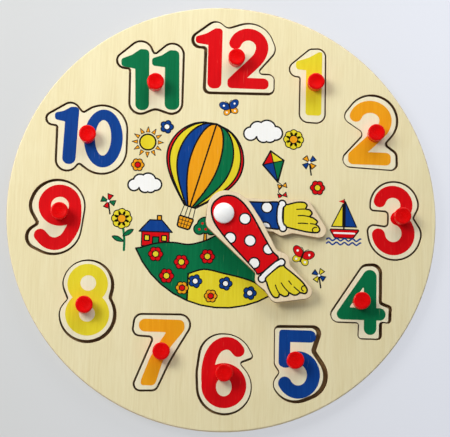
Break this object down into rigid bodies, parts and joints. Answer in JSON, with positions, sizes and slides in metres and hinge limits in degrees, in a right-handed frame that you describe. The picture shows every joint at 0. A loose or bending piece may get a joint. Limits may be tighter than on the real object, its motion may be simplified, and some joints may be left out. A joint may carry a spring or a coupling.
{
  "type": "teaching clock",
  "caption": "Round wooden teaching clock board with lift-out number pieces on pegs and two arm-shaped hands on a centre pivot.",
  "frame": {"origin": "centre of the board's flat back face, on the hands' turning axis", "axes": "+Z out of the clock face, +Y to twelve o'clock, +X to three o'clock; the board lies on its back"},
  "size_m": [0.3, 0.3, 0.0202],
  "materials": {
    "board_wood": "satin varnished birch plywood",
    "number_wood": "satin varnished birch plywood with printed colour",
    "hand_wood": "satin varnished birch plywood with printed colour",
    "peg_plastic": "glossy",
    "pivot_plastic": "glossy"
  },
  "bodies": {
    "board": {"back_board": "board_wood", "front_board": "board_wood", "pivot_post": "pivot_plastic", "pivot_cap": "pivot_plastic", "board_washer": "pivot_plastic", "hand_washer": "pivot_plastic"},
    "lift_1": {"number_1": "number_wood", "peg_1": "peg_plastic"},
    "lift_2": {"number_2": "number_wood", "peg_2": "peg_plastic"},
    "lift_3": {"number_3": "number_wood", "peg_3": "peg_plastic"},
    "lift_4": {"number_4": "number_wood", "peg_4": "peg_plastic"},
    "lift_5": {"number_5": "number_wood", "peg_5": "peg_plastic"},
    "lift_6": {"number_6": "number_wood", "peg_6": "peg_plastic"},
    "lift_7": {"number_7": "number_wood", "peg_7": "peg_plastic"},
    "lift_8": {"number_8": "number_wood", "peg_8": "peg_plastic"},
    "lift_9": {"number_9": "number_wood", "peg_9": "peg_plastic"},
    "lift_10": {"number_10": "number_wood", "peg_10": "peg_plastic"},
    "lift_11": {"number_11": "number_wood", "peg_11": "peg_plastic"},
    "lift_12": {"number_12": "number_wood", "peg_12": "peg_plastic"},
    "hour": {"hour_hand": "hand_wood"},
    "minute": {"minute_hand": "hand_wood"}
  },
  "joints": [
    {"name": "hour_turn", "type": "hinge", "parent": "board", "child": "hour", "pos_m": [0, 0, 0.0104], "axis": [0, 0, -1], "continuous": true},
    {"name": "minute_turn", "type": "hinge", "parent": "board", "child": "minute", "pos_m": [0, 0, 0.0144], "axis": [0, 0, -1], "continuous": true},
    {"name": "lift_1_slide", "type": "slide", "parent": "board", "child": "lift_1", "axis": [0, 0, 1], "range_m": [0, 0.03]},
    {"name": "lift_2_slide", "type": "slide", "parent": "board", "child": "lift_2", "axis": [0, 0, 1], "range_m": [0, 0.03]},
    {"name": "lift_3_slide", "type": "slide", "parent": "board", "child": "lift_3", "axis": [0, 0, 1], "range_m": [0, 0.03]},
    {"name": "lift_4_slide", "type": "slide", "parent": "board", "child": "lift_4", "axis": [0, 0, 1], "range_m": [0, 0.03]},
    {"name": "lift_5_slide", "type": "slide", "parent": "board", "child": "lift_5", "axis": [0, 0, 1], "range_m": [0, 0.03]},
    {"name": "lift_6_slide", "type": "slide", "parent": "board", "child": "lift_6", "axis": [0, 0, 1], "range_m": [0, 0.03]},
    {"name": "lift_7_slide", "type": "slide", "parent": "board", "child": "lift_7", "axis": [0, 0, 1], "range_m": [0, 0.03]},
    {"name": "lift_8_slide", "type": "slide", "parent": "board", "child": "lift_8", "axis": [0, 0, 1], "range_m": [0, 0.03]},
    {"name": "lift_9_slide", "type": "slide", "parent": "board", "child": "lift_9", "axis": [0, 0, 1], "range_m": [0, 0.03]},
    {"name": "lift_10_slide", "type": "slide", "parent": "board", "child": "lift_10", "axis": [0, 0, 1], "range_m": [0, 0.03]},
    {"name": "lift_11_slide", "type": "slide", "parent": "board", "child": "lift_11", "axis": [0, 0, 1], "range_m": [0, 0.03]},
    {"name": "lift_12_slide", "type": "slide", "parent": "board", "child": "lift_12", "axis": [0, 0, 1], "range_m": [0, 0.03]}
  ]
}
